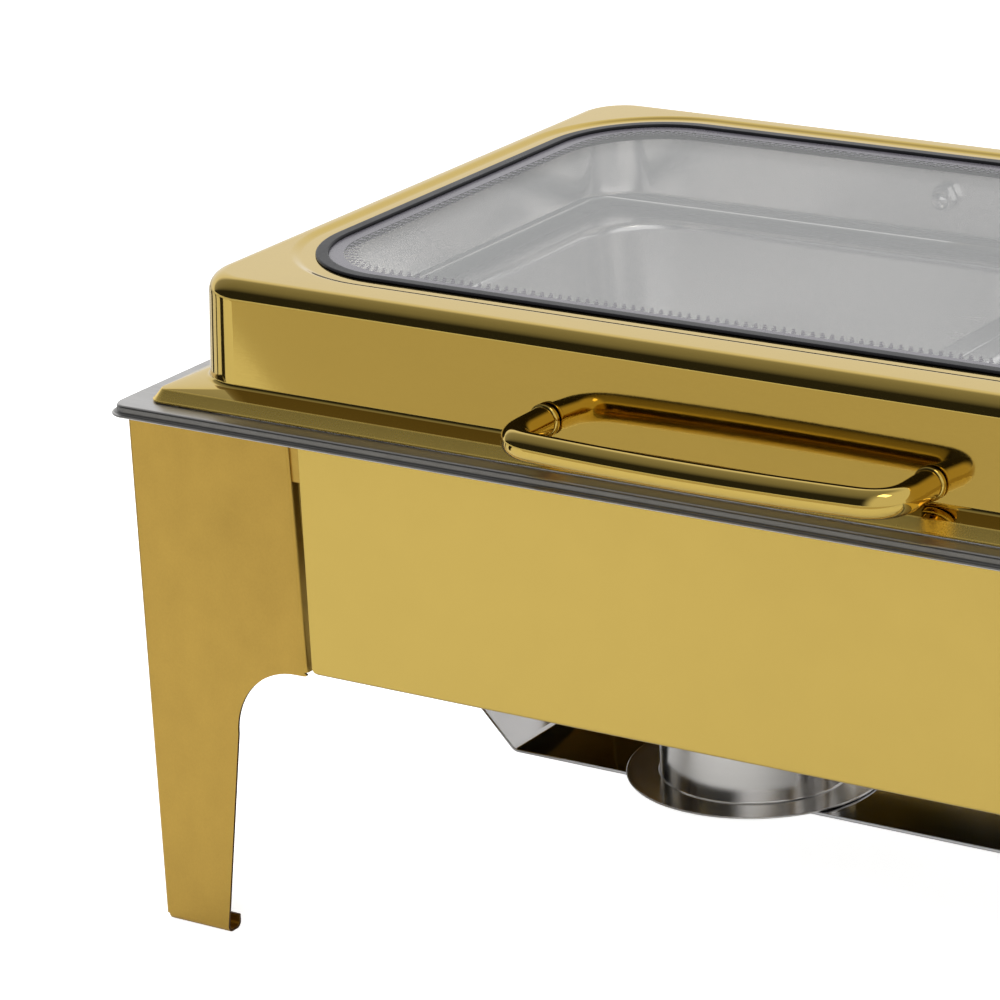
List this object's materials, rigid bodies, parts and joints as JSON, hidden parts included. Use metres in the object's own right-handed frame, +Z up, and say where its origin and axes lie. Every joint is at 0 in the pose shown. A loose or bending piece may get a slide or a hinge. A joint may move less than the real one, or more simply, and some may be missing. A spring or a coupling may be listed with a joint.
{
  "type": "roll top chafer",
  "caption": "Rectangular roll top chafer: sheet stand, water pan, two food pans, hinged lid with a glass window, shelf and fuel holders.",
  "frame": {"origin": "on the table, under the middle of the object's box", "axes": "+Z up, -Y towards the guest, who faces the lid's handle, +X to that guest's right"},
  "size_m": [0.5934, 0.4118, 0.2914],
  "materials": {
    "gold_satin": "gold coloured stainless sheet, satin",
    "gold_polished": "gold coloured stainless sheet, polished",
    "steel_satin": "brushed stainless",
    "steel_mirror": "mirror polished stainless",
    "steel_fastener": "bright fasteners",
    "rubber_black": "matte black rubber",
    "window_glass": "clear tempered glass"
  },
  "bodies": {
    "root": {"leg_front_left": "gold_satin", "leg_front_right": "gold_satin", "leg_rear_left": "gold_satin", "leg_rear_right": "gold_satin", "skirt_front": "gold_polished", "skirt_rear": "gold_polished", "skirt_left": "gold_polished", "skirt_right": "gold_polished", "rail_front": "gold_satin", "rail_rear": "gold_satin", "rail_left": "gold_satin", "rail_right": "gold_satin", "water_pan": "steel_satin", "hinge_bracket_left": "steel_satin", "hinge_bracket_right": "steel_satin", "hinge_pin_left": "steel_fastener", "hinge_pin_right": "steel_fastener", "bracket_screw_upper_left": "steel_fastener", "bracket_screw_lower_left": "steel_fastener", "bracket_screw_upper_right": "steel_fastener", "bracket_screw_lower_right": "steel_fastener", "bracket_nut_upper_left": "steel_fastener", "bracket_nut_lower_left": "steel_fastener", "bracket_nut_upper_right": "steel_fastener", "bracket_nut_lower_right": "steel_fastener", "fuel_shelf": "steel_mirror", "shelf_rivet_front_left": "steel_fastener", "shelf_rivet_rear_left": "steel_fastener", "shelf_rivet_front_right": "steel_fastener", "shelf_rivet_rear_right": "steel_fastener"},
    "lid": {"lid_shell": "gold_polished", "window_gasket": "rubber_black", "window_glass": "window_glass", "handle_bar": "gold_polished", "handle_collar_left": "gold_polished", "handle_collar_right": "gold_polished", "handle_screw_left": "steel_fastener", "handle_screw_right": "steel_fastener", "hinge_arm_left": "steel_satin", "hinge_arm_right": "steel_satin", "hinge_bolt_left": "steel_fastener", "hinge_bolt_right": "steel_fastener", "hinge_nut_left": "steel_fastener", "hinge_nut_right": "steel_fastener"},
    "food_pan_left": {"food_pan_left": "steel_satin"},
    "food_pan_right": {"food_pan_right": "steel_satin"},
    "fuel_holder_left": {"fuel_holder_left": "steel_satin"},
    "fuel_holder_right": {"fuel_holder_right": "steel_satin"}
  },
  "joints": [
    {"name": "lid_hinge", "type": "hinge", "parent": "root", "child": "lid", "pos_m": [0, 0.1999, 0.2433], "axis": [-1, 0, 0], "range_deg": [0, 90]},
    {"name": "food_pan_left_lift", "type": "slide", "parent": "root", "child": "food_pan_left", "axis": [0, 0, 1], "range_m": [0, 0.004]},
    {"name": "food_pan_right_lift", "type": "slide", "parent": "root", "child": "food_pan_right", "axis": [0, 0, 1], "range_m": [0, 0.004]},
    {"name": "fuel_holder_left_slide", "type": "slide", "parent": "root", "child": "fuel_holder_left", "axis": [0, -1, 0], "range_m": [0, 0.15]},
    {"name": "fuel_holder_right_slide", "type": "slide", "parent": "root", "child": "fuel_holder_right", "axis": [0, -1, 0], "range_m": [0, 0.15]}
  ]
}
